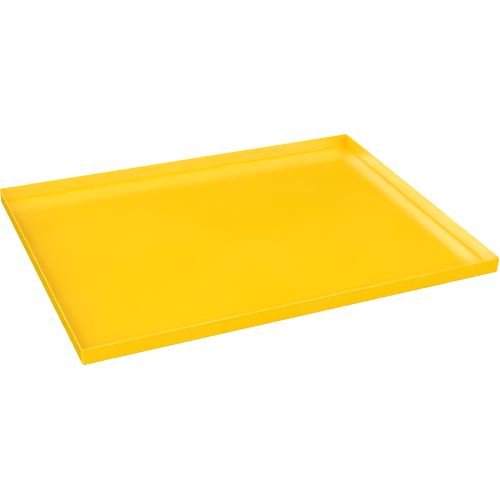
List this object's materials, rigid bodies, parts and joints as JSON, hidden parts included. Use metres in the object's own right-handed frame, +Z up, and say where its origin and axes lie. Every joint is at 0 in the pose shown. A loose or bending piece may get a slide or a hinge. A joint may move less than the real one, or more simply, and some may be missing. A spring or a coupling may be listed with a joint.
{
  "type": "low spill containment tray",
  "caption": "Low open-topped rectangular spill tray folded from one painted steel sheet, with four upright walls, a plain rim and welded, dressed corners.",
  "frame": {"origin": "middle of the underside, on the surface that the tray stands on", "axes": "+X along the long side, +Y along the short side, +Z up out of the tray"},
  "size_m": [1.2, 0.9, 0.0484],
  "materials": {
    "coated_sheet": "glossy yellow powder coat on steel sheet, with a fine orange peel",
    "coated_weld": "glossy yellow powder coat over a ground weld"
  },
  "bodies": {
    "root": {"folded_tray": "coated_sheet", "corner_weld_front_left": "coated_weld", "corner_weld_front_right": "coated_weld", "corner_weld_back_right": "coated_weld", "corner_weld_back_left": "coated_weld"}
  },
  "joints": []
}
